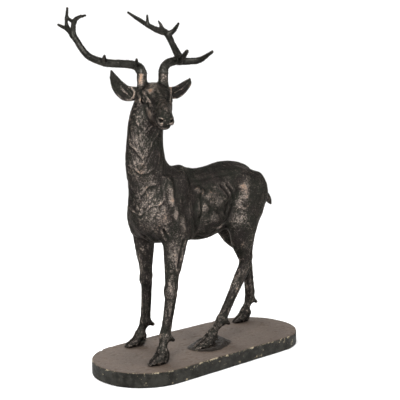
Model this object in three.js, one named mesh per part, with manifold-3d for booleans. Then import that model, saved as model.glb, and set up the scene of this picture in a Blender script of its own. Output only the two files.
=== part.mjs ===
// Cast iron stag statue on a round-ended plinth.
// Millimetres, +Z up. The stag heads along -X and its left flank faces -Y.
// The origin is the centre of the plinth's underside.

import * as THREE from 'three';
import { mergeVertices } from 'three/addons/utils/BufferGeometryUtils.js';
import Module from 'manifold-3d';

const wasm = await Module();
wasm.setup();

// Driving dimensions

const PLINTH = { length: 450, width: 182, height: 26, edge: 2.5, endSegments: 12 };
const JOINT_GAP = 0.3;
const SOLE_LEVEL = PLINTH.height + JOINT_GAP;
const PEDICLE_TOP = 513;
const FAR = 2000;

const RIGHT = 1;
const LEFT = -1;
const SIDES = [RIGHT, LEFT];

const BARREL_ROUND = 20;
const BALL_ROUND = 14;
const BALL_RINGS = 8;
const LIMB_ROUND = 10;
const SPANS_PER_STATION = 1;
const CAP_RINGS = 2;
const TINE_ROUND = 6;

const WIDTHWAYS = [0, 1, 0];
const SLIM = 0.86;

// Each leg is set by the places of its joints.

const FORE_LEGS = {
  left: { elbow: [-92, -38, 246], knee: [-109, -41, 144], fetlock: [-124, -42, 68], toe: [-150, -48, 26] },
  right: { elbow: [-92, 46, 250], knee: [-85, 54, 150], fetlock: [-84, 62, 68], toe: [-110, 62, 26] },
};

const HIND_LEGS = {
  left: {
    hip: [108, -28, 296], stifle: [70, -36, 244], hock: [88, -30, 168],
    fetlock: [27, -27, 67], toe: [-24, -34, 26],
  },
  right: {
    hip: [112, 28, 296], stifle: [98, 36, 240], hock: [166, 43, 170],
    fetlock: [186, 50, 69], toe: [152, 48, 26],
  },
};

const FORE_THICKNESS = { elbow: 23, forearm: 17.5, aboveKnee: 12.6, knee: 12.4, shin: 9.4, cannon: 8.2 };
const HIND_THICKNESS = {
  hip: 34, thigh: 32, stifle: 23.5, gaskin: 18.5, aboveHock: 12.5, hock: 11.3, shin: 9.6, cannon: 8.6,
};
const PASTERN = { ankle: 10.2, middle: 7.6, coronet: 9.5, setBack: 4, rise: 10, slope: 0.6 };
const HOOF = {
  spread: 4.6, heel: 7.2, toe: 4.6, tip: 2.6,
  heelBack: 8, toeFront: 4, tipFront: 10, heelSetBack: 4, heelDrop: 2,
};
const DEWCLAW = { spread: 5, rootBack: 4, rootDrop: 2, back: 14, drop: 7, root: 4, tip: 2.6 };

const HEAD = { centre: [-108, 3, 475], turn: 64, nod: 19 };
const ANTLER_FEET = { right: [-126, 12, PEDICLE_TOP], left: [-94, -6, PEDICLE_TOP] };
const PEDICLE = { root: 10.4, top: 8.9, sunk: 30, over: 8 };
const EAR_FACING = [0.69, 0.73, 0];
const EAR_THIN = 0.5;
const EAR_BOWL = { shift: [-4, -4.2, 1], share: 0.66 };
const EARS = {
  right: [
    [-120, 24, 483, 8], [-137, 40, 480, 12], [-147, 49, 491, 10.5], [-152, 54, 504, 7], [-156, 58, 518, 2],
  ],
  left: [
    [-84, 1, 484, 8], [-66, -3, 482, 11], [-53, -7, 489, 10], [-41, -9, 499, 7], [-35, -9, 507, 2],
  ],
};
const ANTLER_ROUND = 8;
const NECK_ROUND = 16;
const CLAW_ROUND = 6;
const DEWCLAW_ROUND = 5;

// Sections are narrower than they are deep by these shares
const BARREL_SHARE = 0.68;
const NECK_SHARE = 0.84;
const THIGH_SHARE = 0.75;

// How far along each bone its thickness is given
const FORE_SHARES = { forearm: 0.4, aboveKnee: 0.75, shin: 0.2, cannon: 0.6 };
const HIND_SHARES = { thigh: 0.5, gaskin: 0.4, aboveHock: 0.75, shin: 0.25, cannon: 0.65 };

// The room above the pedicles that is cut clear for the antlers
const PEDICLE_ZONE = { size: 60, centre: [-110, 2] };

// A curve that starts this close to level takes the upright as its first cross direction
const NEARLY_LEVEL = 0.7;

// Small vector helpers on [x, y, z] lists

const sum = (a, b) => a.map((value, axis) => value + b[axis]);
const blend = (a, b, share) => a.map((value, axis) => value + (b[axis] - value) * share);
const spot = (place, thickness) => [...place, thickness];

// Closed solids

function solidOf(geometry) {
  const bare = geometry.clone();
  bare.deleteAttribute('normal');
  bare.deleteAttribute('uv');
  const closed = mergeVertices(bare, 1e-4);
  return new wasm.Manifold(new wasm.Mesh({
    numProp: 3,
    vertProperties: new Float32Array(closed.attributes.position.array),
    triVerts: new Uint32Array(closed.index.array),
  }));
}

function joined(solids) {
  return solids.reduce((whole, solid) => whole.add(solid));
}

function block(size, centre) {
  const geometry = new THREE.BoxGeometry(...size);
  geometry.translate(...centre);
  return solidOf(geometry);
}

function geometryOf(solid) {
  const mesh = solid.getMesh();
  const geometry = new THREE.BufferGeometry();
  const positions = new Float32Array((mesh.vertProperties.length / mesh.numProp) * 3);
  for (let vertex = 0; vertex < positions.length / 3; vertex += 1) {
    for (let axis = 0; axis < 3; axis += 1) {
      positions[vertex * 3 + axis] = mesh.vertProperties[vertex * mesh.numProp + axis];
    }
  }
  geometry.setAttribute('position', new THREE.BufferAttribute(positions, 3));
  geometry.setIndex(new THREE.BufferAttribute(new Uint32Array(mesh.triVerts), 1));
  geometry.computeVertexNormals();
  return geometry;
}

// A muscle mass is a ball stretched to three half-sizes. A positive pitch leans its top forward.

function mass(centre, halfSizes, pitchDegrees = 0, round = BALL_ROUND, rings = BALL_RINGS) {
  const geometry = new THREE.SphereGeometry(1, round, rings);
  geometry.rotateX(Math.PI / 2);
  geometry.scale(...halfSizes);
  geometry.rotateY(THREE.MathUtils.degToRad(pitchDegrees));
  geometry.translate(...centre);
  return solidOf(geometry);
}

// A limb is a capsule bent along a smooth curve through its stations.
// Each station is [x, y, z, half-thickness]. flatten squeezes the section along one direction.

function limb(stations, {
  round = LIMB_ROUND, flatten = null, share = 1, spans = SPANS_PER_STATION, caps = CAP_RINGS,
} = {}) {
  const curve = new THREE.CatmullRomCurve3(
    stations.map(([x, y, z]) => new THREE.Vector3(x, y, z)), false, 'centripetal',
  );
  const steps = (stations.length - 1) * spans;
  const frames = framesAlong(curve, steps);
  const geometry = new THREE.CapsuleGeometry(1, 1, caps, round, steps);
  const squeeze = flatten ? new THREE.Vector3(...flatten).normalize() : null;
  const position = geometry.attributes.position;
  const point = new THREE.Vector3();
  for (let index = 0; index < position.count; index += 1) {
    point.fromBufferAttribute(position, index);
    const along = THREE.MathUtils.clamp(point.y + 0.5, 0, 1);
    const beyond = point.y + 0.5 - along;
    const { origin, tangent, normal, binormal } = frames[Math.round(along * steps)];
    const thickness = thicknessAt(stations, along);
    const offset = normal.clone().multiplyScalar(point.x).addScaledVector(binormal, point.z);
    offset.addScaledVector(tangent, beyond).multiplyScalar(thickness);
    if (squeeze) offset.addScaledVector(squeeze, (share - 1) * offset.dot(squeeze));
    point.copy(origin).add(offset);
    position.setXYZ(index, point.x, point.y, point.z);
  }
  return solidOf(geometry);
}

// Cross directions carried along a curve without twisting

function framesAlong(curve, steps) {
  const frames = [];
  const startsForward = Math.abs(curve.getTangent(0).x) > NEARLY_LEVEL;
  let normal = startsForward ? new THREE.Vector3(0, 0, 1) : new THREE.Vector3(1, 0, 0);
  for (let step = 0; step <= steps; step += 1) {
    const origin = curve.getPoint(step / steps);
    const tangent = curve.getTangent(step / steps);
    normal = normal.clone().addScaledVector(tangent, -normal.dot(tangent)).normalize();
    const binormal = normal.clone().cross(tangent);
    frames.push({ origin, tangent, normal, binormal });
  }
  return frames;
}

function thicknessAt(stations, along) {
  const place = along * (stations.length - 1);
  const before = Math.min(Math.floor(place), stations.length - 2);
  return THREE.MathUtils.lerp(stations[before][3], stations[before + 1][3], place - before);
}

// Trunk: one barrel from breast to rump, with the muscles of both sides on it

function trunk() {
  const barrel = limb([
    [-132, 0, 282, 20], [-122, 0, 283, 42], [-98, 0, 285, 60], [-60, 0, 289, 67], [-15, 0, 285, 63],
    [30, 0, 292, 64], [70, 0, 297, 63.5], [104, 0, 301, 55], [130, 0, 304, 42], [148, 0, 307, 28],
    [157, 0, 309, 12],
  ], { round: BARREL_ROUND, flatten: WIDTHWAYS, share: BARREL_SHARE, spans: 2 });
  const muscles = SIDES.flatMap((side) => [
    mass([-88, side * 28, 296], [24, 18, 56], 22),
    mass([-112, side * 30, 262], [30, 18, 35]),
    mass([-78, side * 31, 258], [30, 17, 32], 20),
    mass([102, side * 24, 290], [40, 20, 48], 20),
  ]);
  return [barrel, ...muscles];
}

function neck() {
  const stations = [
    [-102, 0, 292, 52], [-119, -1, 335, 42], [-128, -1, 372, 36.5],
    [-131, 0, 405, 33.5], [-127, 0, 435, 31], [-118, 2, 462, 28],
  ];
  return limb(stations, { round: NECK_ROUND, flatten: WIDTHWAYS, share: NECK_SHARE, spans: 2 });
}

// Legs

function ankleStations({ fetlock, toe }) {
  const coronet = coronetOf({ fetlock, toe });
  return [
    spot(fetlock, PASTERN.ankle),
    spot(blend(fetlock, coronet, 0.5), PASTERN.middle),
    spot(coronet, PASTERN.coronet),
  ];
}

function coronetOf({ fetlock, toe }) {
  return sum(blend(fetlock, toe, PASTERN.slope), [PASTERN.setBack, 0, PASTERN.rise]);
}

function claws({ fetlock, toe }) {
  const coronet = coronetOf({ fetlock, toe });
  return SIDES.flatMap((side) => [
    limb([
      sum(coronet, [HOOF.heelSetBack, side * HOOF.spread, -HOOF.heelDrop]).concat(HOOF.heel),
      [toe[0] + HOOF.heelBack, toe[1] + side * HOOF.spread, SOLE_LEVEL + HOOF.heel, HOOF.heel],
      [toe[0] - HOOF.toeFront, toe[1] + side * HOOF.spread, SOLE_LEVEL + HOOF.toe, HOOF.toe],
      [toe[0] - HOOF.tipFront, toe[1] + side * HOOF.tip, SOLE_LEVEL + HOOF.tip, HOOF.tip],
    ], { round: CLAW_ROUND }),
    limb([
      sum(fetlock, [DEWCLAW.rootBack, side * DEWCLAW.spread, -DEWCLAW.rootDrop]).concat(DEWCLAW.root),
      sum(fetlock, [DEWCLAW.back, side * DEWCLAW.spread, -DEWCLAW.drop]).concat(DEWCLAW.tip),
    ], { round: DEWCLAW_ROUND }),
  ]);
}

function foreLeg({ elbow, knee, fetlock, toe }) {
  const thickness = FORE_THICKNESS;
  const shaft = limb([
    spot(elbow, thickness.elbow),
    spot(blend(elbow, knee, FORE_SHARES.forearm), thickness.forearm),
    spot(blend(elbow, knee, FORE_SHARES.aboveKnee), thickness.aboveKnee),
    spot(knee, thickness.knee),
    spot(blend(knee, fetlock, FORE_SHARES.shin), thickness.shin),
    spot(blend(knee, fetlock, FORE_SHARES.cannon), thickness.cannon),
    ...ankleStations({ fetlock, toe }),
  ], { flatten: WIDTHWAYS, share: SLIM });
  return [shaft, ...claws({ fetlock, toe })];
}

function hindLeg({ hip, stifle, hock, fetlock, toe }) {
  const thickness = HIND_THICKNESS;
  const thigh = limb([
    spot(hip, thickness.hip),
    spot(blend(hip, stifle, HIND_SHARES.thigh), thickness.thigh),
    spot(stifle, thickness.stifle),
  ], { flatten: WIDTHWAYS, share: THIGH_SHARE });
  const shaft = limb([
    spot(stifle, thickness.stifle),
    spot(blend(stifle, hock, HIND_SHARES.gaskin), thickness.gaskin),
    spot(blend(stifle, hock, HIND_SHARES.aboveHock), thickness.aboveHock),
    spot(hock, thickness.hock),
    spot(blend(hock, fetlock, HIND_SHARES.shin), thickness.shin),
    spot(blend(hock, fetlock, HIND_SHARES.cannon), thickness.cannon),
    ...ankleStations({ fetlock, toe }),
  ], { flatten: WIDTHWAYS, share: SLIM });
  return [thigh, shaft, ...claws({ fetlock, toe })];
}

function tail() {
  return limb([[150, 0, 314, 12], [168, 0, 302, 9], [180, -2, 286, 7], [188, -4, 274, 2.5]]);
}

// Head: built nose along +X, its left along +Y, then turned and set on the neck

function placeHead(solid) {
  const turn = THREE.MathUtils.degToRad(HEAD.turn);
  const nod = THREE.MathUtils.degToRad(HEAD.nod);
  const level = Math.cos(nod);
  const nose = new THREE.Vector3(-Math.cos(turn) * level, -Math.sin(turn) * level, -Math.sin(nod));
  const cheek = new THREE.Vector3(0, 0, 1).cross(nose).normalize();
  const crown = nose.clone().cross(cheek);
  const matrix = new THREE.Matrix4().makeBasis(nose, cheek, crown).setPosition(...HEAD.centre);
  return solid.transform(matrix.elements);
}

function head() {
  const skull = mass([6, 0, -3], [38, 26, 27]);
  const muzzle = limb([[8, 0, -4, 23], [40, 0, -4, 20], [72, 0, -5, 14.5], [90, 0, -8, 13]]);
  const jaw = limb([[0, 0, -24, 18], [36, 0, -24, 13], [84, 0, -21, 9.4]], { round: 6 });
  const brows = SIDES.map((side) => mass([24, side * 19, 7], [13, 8, 8], 0, 7, 4));
  const sockets = SIDES.map((side) => mass([28, side * 26, 1], [7, 4, 4.5], 0, 6, 4));
  return placeHead(joined([skull, muzzle, jaw, ...brows]).subtract(joined(sockets)));
}

function pedicles() {
  return Object.values(ANTLER_FEET).map((foot) => limb([
    spot(sum(foot, [1, -1, -PEDICLE.sunk]), PEDICLE.root),
    spot(sum(foot, [0, 0, PEDICLE.over]), PEDICLE.top),
  ]));
}

function ears() {
  return Object.values(EARS).map((stations) => {
    const leaf = limb(stations, { flatten: EAR_FACING, share: EAR_THIN });
    const bowl = stations.slice(1).map(
      ([x, y, z, half]) => sum([x, y, z], EAR_BOWL.shift).concat(half * EAR_BOWL.share),
    );
    return leaf.subtract(limb(bowl, { flatten: EAR_FACING, share: EAR_THIN }));
  });
}

// Antlers: a beam with its tines, cut level where it meets its pedicle

function antler(beam, tines) {
  const branches = tines.map((stations) => limb(stations, { round: TINE_ROUND }));
  const whole = joined([limb(beam, { round: ANTLER_ROUND, spans: 2 }), ...branches]);
  return whole.subtract(block([FAR, FAR, FAR], [0, 0, PEDICLE_TOP + JOINT_GAP - FAR / 2]));
}

function antlerRight() {
  const beam = [
    [-126, 10, 500, 9], [-126, 12, 513, 8.8], [-128, 18, 524, 7.8], [-134, 32, 529, 7.2],
    [-156, 78, 534, 6.8], [-169, 109, 547, 5.8], [-177, 130, 574, 5.6], [-179, 137, 583, 5.4],
  ];
  const tines = [
    [[-130, 17, 519, 5], [-138, 11, 527, 3.8], [-148, -1, 535, 2.4]],
    [[-157, 76, 534, 5], [-166, 64, 539, 3.6], [-176, 50, 542, 2.6]],
    [[-179, 137, 583, 5], [-181, 151, 594, 4.4], [-184, 175, 604, 2.6]],
    [[-179, 137, 583, 4.6], [-180, 133, 604, 4.4], [-179, 121, 612, 3.6], [-177, 103, 614, 2.2]],
    [[-180, 142, 589, 3.4], [-181, 154, 603, 3], [-183, 150, 615, 3.2], [-187, 142, 629, 2.2]],
    [[-179, 133, 605, 4], [-182, 149, 613, 3]],
  ];
  return antler(beam, tines);
}

function antlerLeft() {
  const beam = [
    [-96, -7, 500, 9], [-94, -6, 513, 8.8], [-90, -4, 524, 8], [-81, -3, 532, 7.6],
    [-65, -3, 537, 7.4], [-53, 0, 543, 7.2], [-46, 24, 568, 5.6], [-42, 44, 589, 6],
    [-44, 60, 594, 5.6], [-50, 82, 604, 4.8], [-55, 103, 616, 3.8], [-63, 128, 632, 2.6],
  ];
  const tines = [
    [[-56, -4, 536, 6], [-63, -22, 542, 4.6], [-74, -44, 550, 3.6]],
    [[-54, 1, 537, 6.6], [-40, -13, 537, 6.2], [-30, -30, 539, 5.6], [-29, -59, 551, 3]],
    [[-42, 39, 588, 5], [-38, 30, 593, 4.4], [-40, 15, 604, 2.4]],
    [[-43, 53, 595, 4], [-43, 59, 604, 3], [-45, 63, 612, 2]],
    [[-52, 86, 608, 3.4], [-53, 85, 616, 2.6], [-56, 82, 623, 2]],
  ];
  return antler(beam, tines);
}

// The stag is one casting, cut level under the hooves and at the tops of the pedicles.

function stag() {
  const body = joined([
    ...trunk(), neck(), tail(), head(), ...pedicles(), ...ears(),
    ...Object.values(FORE_LEGS).flatMap(foreLeg),
    ...Object.values(HIND_LEGS).flatMap(hindLeg),
  ]);
  const underSoles = block([FAR, FAR, FAR], [0, 0, SOLE_LEVEL - FAR / 2]);
  const zoneSize = [PEDICLE_ZONE.size, PEDICLE_ZONE.size, FAR];
  const pedicleZone = block(zoneSize, [...PEDICLE_ZONE.centre, PEDICLE_TOP + FAR / 2]);
  return body.subtract(underSoles).subtract(pedicleZone);
}

// The plinth is a slab with half-round ends and a softened top edge.

function plinth() {
  const reach = (PLINTH.length - PLINTH.width) / 2;
  const radius = PLINTH.width / 2 - PLINTH.edge;
  const outline = new THREE.Shape();
  outline.absarc(reach, 0, radius, -Math.PI / 2, Math.PI / 2);
  outline.absarc(-reach, 0, radius, Math.PI / 2, Math.PI * 1.5);
  outline.closePath();
  const geometry = new THREE.ExtrudeGeometry(outline, {
    depth: PLINTH.height - PLINTH.edge,
    curveSegments: PLINTH.endSegments,
    bevelThickness: PLINTH.edge,
    bevelSize: PLINTH.edge,
    bevelSegments: 1,
  });
  const slab = solidOf(geometry);
  return slab.subtract(block([FAR, FAR, FAR], [0, 0, -FAR / 2]));
}

// Materials and named pieces

function iron(color, roughness, metalness) {
  return new THREE.MeshStandardMaterial({ color, roughness, metalness });
}

const BODY_IRON = iron(0x2d2a26, 0.48, 0.75);
const ANTLER_IRON = iron(0x24221f, 0.45, 0.75);
const PLINTH_IRON = iron(0x6a625b, 0.8, 0.35);

const group = new THREE.Group();

function place(name, solid, material) {
  const mesh = new THREE.Mesh(geometryOf(solid), material);
  mesh.name = name;
  group.add(mesh);
}

place('plinth', plinth(), PLINTH_IRON);
place('stag', stag(), BODY_IRON);
place('antler_right', antlerRight(), ANTLER_IRON);
place('antler_left', antlerLeft(), ANTLER_IRON);

export default group;
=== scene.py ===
import math

import bpy
import numpy as np
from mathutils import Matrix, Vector, kdtree


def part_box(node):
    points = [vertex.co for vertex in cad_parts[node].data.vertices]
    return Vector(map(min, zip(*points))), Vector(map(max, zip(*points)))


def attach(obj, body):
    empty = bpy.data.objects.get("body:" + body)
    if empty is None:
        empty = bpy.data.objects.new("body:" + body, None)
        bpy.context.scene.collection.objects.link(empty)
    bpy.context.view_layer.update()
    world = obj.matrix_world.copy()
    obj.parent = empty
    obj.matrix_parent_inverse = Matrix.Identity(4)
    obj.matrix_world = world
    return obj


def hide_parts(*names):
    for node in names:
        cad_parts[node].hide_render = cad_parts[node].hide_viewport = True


bl_info = {
    "name": "Cast Iron Stag",
    "version": (1, 0, 0),
    "blender": (4, 5, 0),
    "location": "3D View > Sidebar > Iron Stag",
    "description": "Models and finishes a cast iron stag on its round-ended plinth",
    "category": "Object",
}

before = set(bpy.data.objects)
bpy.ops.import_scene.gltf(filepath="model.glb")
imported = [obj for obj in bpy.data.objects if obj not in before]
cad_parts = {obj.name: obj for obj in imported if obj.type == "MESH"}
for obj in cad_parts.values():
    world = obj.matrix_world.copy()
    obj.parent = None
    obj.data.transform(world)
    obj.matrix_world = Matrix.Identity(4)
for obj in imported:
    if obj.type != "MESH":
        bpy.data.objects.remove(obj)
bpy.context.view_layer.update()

# Lengths are in millimetres until a mesh is made. +Z is up and the stag heads along -X.

MM = 0.001
PER_METRE = 1000.0
FAR = 1000.0
TINY = 1e-9
BOTH = (1, -1)
WIDTHWAYS = (0, 1, 0)


def box_mm(node):
    """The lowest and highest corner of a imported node, in millimetres."""
    low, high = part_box(node)
    return np.array(low) * PER_METRE, np.array(high) * PER_METRE


PLINTH_LOW, PLINTH_HIGH = box_mm("plinth")
DECK = PLINTH_HIGH[2]
SOLE = box_mm("stag")[0][2]
SEAM = box_mm("antler_right")[0][2]


# Forms: each one gives the distance from points to its surface, negative inside


def unit(direction):
    direction = np.asarray(direction, float)
    return direction / np.linalg.norm(direction)


class Ball:
    """A mass stretched to three half-sizes, its top leaned forward by lean degrees."""

    def __init__(self, centre, half, lean=0.0, soft=8.0, cut=False):
        angle = math.radians(lean)
        self.centre = np.array(centre, float)
        self.half = np.array(half, float)
        self.axes = np.array(
            [[math.cos(angle), 0, math.sin(angle)], [0, 1, 0], [-math.sin(angle), 0, math.cos(angle)]]
        )
        self.soft = soft
        self.cut = cut

    def moved(self, turn, shift):
        self.centre = turn @ self.centre + shift
        self.axes = turn @ self.axes
        return self

    def reach(self):
        extent = np.abs(self.axes) @ self.half
        return self.centre - extent, self.centre + extent

    def gap(self, points, pad):
        local = (points - self.centre) @ self.axes
        near = np.sqrt(((local / self.half) ** 2).sum(1))
        slope = np.sqrt(((local / self.half**2) ** 2).sum(1))
        return near * (near - 1) / np.maximum(slope, TINY)


def smooth_path(rows, spans):
    """Points on a curve through the rows, with any further columns carried along."""
    rows = np.asarray(rows, float)
    if len(rows) < 3:
        share = np.linspace(0, 1, spans + 1)[:, None]
        return rows[0] * (1 - share) + rows[-1] * share
    ends = np.vstack([2 * rows[0] - rows[1], rows, 2 * rows[-1] - rows[-2]])
    share = np.linspace(0, 1, spans, endpoint=False)[:, None]
    pieces = []
    for before, start, stop, after in zip(ends, ends[1:], ends[2:], ends[3:]):
        linear = (stop - before) * share
        square = (2 * before - 5 * start + 4 * stop - after) * share**2
        cube = (3 * start - before - 3 * stop + after) * share**3
        pieces.append(start + 0.5 * (linear + square + cube))
    pieces.append(rows[-1:])
    return np.vstack(pieces)


def cone_gap(points, start, stop, start_round, stop_round):
    """Distance to two balls and the taper between them."""
    span = stop - start
    length2 = span @ span
    taper = start_round - stop_round
    if length2 - taper * taper <= TINY:
        centre = start if start_round > stop_round else stop
        return np.sqrt(((points - centre) ** 2).sum(1)) - max(start_round, stop_round)
    offset = points - start
    along = offset @ span
    past = along - length2
    side = np.maximum((offset**2).sum(1) * length2 - along**2, 0.0) * length2
    limit = math.copysign(1, taper) * taper * taper * side
    slant = length2 - taper * taper
    gap = (np.sqrt(side * slant / length2) + along * taper) / length2 - start_round
    beyond = np.sign(past) * slant * past**2 * length2 > limit
    gap = np.where(beyond, np.sqrt(side + past**2 * length2) / length2 - stop_round, gap)
    behind = ~beyond & (np.sign(along) * slant * along**2 * length2 < limit)
    return np.where(behind, np.sqrt(side + along**2 * length2) / length2 - start_round, gap)


class Limb:
    """A swept ball whose size changes along a curve. Rows are x, y, z and half-thickness."""

    def __init__(self, rows, soft=8.0, flatten=None, share=1.0, cut=False, spans=4):
        self.path = smooth_path(rows, spans)
        self.path[:, 3] = np.maximum(self.path[:, 3], 0.3)
        self.flatten = None if flatten is None else unit(flatten)
        self.share = share
        self.soft = soft
        self.cut = cut

    def moved(self, turn, shift):
        self.path[:, :3] = self.path[:, :3] @ turn.T + shift
        if self.flatten is not None:
            self.flatten = turn @ self.flatten
        return self

    def reach(self):
        thick = self.path[:, 3:]
        return (self.path[:, :3] - thick).min(0), (self.path[:, :3] + thick).max(0)

    def gap(self, points, pad):
        stretch = np.eye(3)
        if self.flatten is not None:
            stretch = stretch + (1 / self.share - 1) * np.outer(self.flatten, self.flatten)
        best = np.full(len(points), FAR)
        for first, last in zip(self.path, self.path[1:]):
            room = max(first[3], last[3]) + pad
            low = np.minimum(first[:3], last[:3]) - room
            high = np.maximum(first[:3], last[:3]) + room
            near = np.flatnonzero(((points > low) & (points < high)).all(1))
            ends = (stretch @ first[:3], stretch @ last[:3])
            gap = cone_gap(points[near] @ stretch.T, *ends, first[3], last[3])
            best[near] = np.minimum(best[near], gap * math.sqrt(self.share))
        return best


def side_ridge(rows, soft, side, cut=False):
    """A limb on one flank, from rows measured out from the middle."""
    return Limb([(x, side * out, z, thick) for x, out, z, thick in rows], soft=soft, cut=cut)


def side_groove(rows, soft, side):
    """The same limb as a cut."""
    return side_ridge(rows, soft, side, cut=True)


class Slab:
    """A plate with half-round ends and rounded edges, centred over the origin."""

    def __init__(self, low, high, edge, soft=1.0):
        self.low = low
        self.high = high
        self.edge = edge
        self.soft = soft
        self.cut = False

    def reach(self):
        return self.low, self.high

    def gap(self, points, pad):
        radius = (self.high[1] - self.low[1]) / 2
        straight = self.high[0] - radius
        outwards = np.maximum(np.abs(points[:, 0]) - straight, 0)
        ring = np.hypot(outwards, points[:, 1]) - radius + self.edge
        middle = (self.low[2] + self.high[2]) / 2
        layer = np.abs(points[:, 2] - middle) - (self.high[2] - self.low[2]) / 2 + self.edge
        inside = np.minimum(np.maximum(ring, layer), 0)
        return inside + np.hypot(np.maximum(ring, 0), np.maximum(layer, 0)) - self.edge


def soft_join(one, other, soft):
    blend = np.maximum(soft - np.abs(one - other), 0) / soft
    return np.minimum(one, other) - blend * blend * soft / 4


def gather(points, forms, pad):
    """The distance from points to all the forms, joined and cut in their order."""
    field = np.full(len(points), FAR)
    for form in forms:
        low, high = form.reach()
        room = form.soft + pad
        near = np.flatnonzero(((points > low - room) & (points < high + room)).all(1))
        gap = form.gap(points[near], room)
        if form.cut:
            field[near] = -soft_join(-field[near], gap, form.soft)
        else:
            field[near] = soft_join(field[near], gap, form.soft)
    return field


# Skin: the field is sampled closely only near the surface, and a net is laid over it

BLOCK = 6
CORNERS = [(x, y, z) for x in (0, 1) for y in (0, 1) for z in (0, 1)]


def grid_points(low, step, index):
    return low + step * np.stack(index, 1)


def sample_field(forms, voxel):
    lows, highs = zip(*(form.reach() for form in forms if not form.cut))
    low = np.min(lows, 0) - 3 * voxel
    size = np.max(highs, 0) + 3 * voxel - low
    blocks = np.ceil(size / (voxel * BLOCK)).astype(int)
    corners = tuple(blocks + 1)
    diagonal = voxel * BLOCK * math.sqrt(3)
    rough_at = grid_points(low, voxel * BLOCK, [axis.ravel() for axis in np.indices(corners)])
    rough = gather(rough_at, forms, diagonal * 1.3).reshape(corners)
    nearest = np.full(blocks, FAR)
    for x, y, z in CORNERS:
        corner = rough[x : x + blocks[0], y : y + blocks[1], z : z + blocks[2]]
        nearest = np.minimum(nearest, np.abs(corner))
    busy = (nearest < diagonal * 1.1).repeat(BLOCK, 0).repeat(BLOCK, 1).repeat(BLOCK, 2)
    wanted = np.zeros(tuple(blocks * BLOCK + 1), bool)
    for x, y, z in CORNERS:
        wanted[x : x + busy.shape[0], y : y + busy.shape[1], z : z + busy.shape[2]] |= busy
    coarse = rough.repeat(BLOCK, 0).repeat(BLOCK, 1).repeat(BLOCK, 2)
    coarse = coarse[: wanted.shape[0], : wanted.shape[1], : wanted.shape[2]]
    field = np.where(coarse < 0, -FAR, FAR).astype(np.float32)
    field[wanted] = gather(grid_points(low, voxel, np.nonzero(wanted)), forms, 2 * voxel)
    return field, low


def lay_net(field, low, voxel):
    """Points and four-sided faces on the zero level of a field."""
    inside = field < 0
    cells = np.array(field.shape) - 1
    filled = np.zeros(cells, np.uint8)
    for x, y, z in CORNERS:
        filled += inside[x : x + cells[0], y : y + cells[1], z : z + cells[2]]
    places = np.nonzero((filled > 0) & (filled < 8))
    number = np.full(cells, -1, np.int32)
    number[places] = np.arange(len(places[0]))
    base = np.stack(places, 1)
    total = np.zeros((len(base), 3))
    crossings = np.zeros(len(base))
    for start in CORNERS:
        for axis in range(3):
            if start[axis]:
                continue
            stop = list(start)
            stop[axis] = 1
            value = field[tuple((base + start).T)]
            other = field[tuple((base + stop).T)]
            crossed = (value < 0) != (other < 0)
            share = np.where(crossed, value / np.where(crossed, value - other, 1), 0)
            spot = np.array(start) + share[:, None] * (np.array(stop) - start)
            total += spot * crossed[:, None]
            crossings += crossed
    points = low + voxel * (base + total / crossings[:, None])
    faces = []
    for axis in range(3):
        one, two = [other for other in range(3) if other != axis]
        ahead = np.zeros(3, int)
        ahead[axis] = 1
        nodes = [slice(1, -1)] * 3
        nodes[axis] = slice(0, -1)
        shifted = [slice(1, -1)] * 3
        shifted[axis] = slice(1, None)
        crossed = np.nonzero(inside[tuple(nodes)] != inside[tuple(shifted)])
        node = np.stack(crossed, 1) + (1 - ahead)
        around = []
        for back_one, back_two in ((1, 1), (0, 1), (0, 0), (1, 0)):
            cell = node.copy()
            cell[:, one] -= back_one
            cell[:, two] -= back_two
            around.append(number[tuple(cell.T)])
        quads = np.stack(around, 1)
        forward = inside[tuple(node.T)]
        if axis == 1:
            forward = ~forward
        quads[~forward] = quads[~forward][:, ::-1]
        faces.append(quads)
    return points, np.vstack(faces)


def neighbour_mean(points, faces):
    """The mean of each point's neighbours along the faces' edges."""
    ends = np.vstack([faces[:, [0, 1]], faces[:, [1, 2]], faces[:, [2, 3]], faces[:, [3, 0]]])
    count = np.bincount(ends[:, 0], minlength=len(points))
    count = np.maximum(count, 1)
    columns = [np.bincount(ends[:, 0], column[ends[:, 1]], len(points)) for column in points.T]
    return np.stack(columns, 1) / count[:, None]


def relax(points, faces, rounds):
    """Points moved halfway to their neighbours' mean, as many times as rounds says."""
    for _ in range(rounds):
        points = points + 0.5 * (neighbour_mean(points, faces) - points)
    return points


def outward(points, faces):
    """Unit normals at the points."""
    one = points[faces[:, 2]] - points[faces[:, 0]]
    two = points[faces[:, 3]] - points[faces[:, 1]]
    facing = np.cross(one, two)
    columns = []
    for axis in range(3):
        shares = [np.bincount(faces[:, corner], facing[:, axis], len(points)) for corner in range(4)]
        columns.append(sum(shares))
    normals = np.stack(columns, 1)
    return normals / np.maximum(np.linalg.norm(normals, axis=1), TINY)[:, None]


def lifted(points, faces, height):
    """Points moved out along their normals."""
    return points + height[:, None] * outward(points, faces)


HALF_RANGE = 2147483648.0


def lattice_value(cells, seed):
    """A repeatable number from -1 to 1 for each whole-number cell."""
    wide = cells.astype(np.int64).astype(np.uint32)
    mixed = wide[:, 0] * np.uint32(374761393) + wide[:, 1] * np.uint32(668265263)
    mixed = mixed + wide[:, 2] * np.uint32(2246822519) + np.uint32(seed * 977 + 13)
    mixed = (mixed ^ (mixed >> np.uint32(13))) * np.uint32(1274126177)
    mixed = mixed ^ (mixed >> np.uint32(16))
    return mixed / HALF_RANGE - 1.0


def noise(points, size, seed):
    """Smooth random values from -1 to 1 whose bumps are about size across."""
    scaled = points / size
    cell = np.floor(scaled)
    inner = scaled - cell
    inner = inner * inner * (3 - 2 * inner)
    value = np.zeros(len(points))
    for corner in CORNERS:
        weight = np.prod(np.where(corner, inner, 1 - inner), 1)
        value += weight * lattice_value(cell + corner, seed)
    return value


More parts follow.
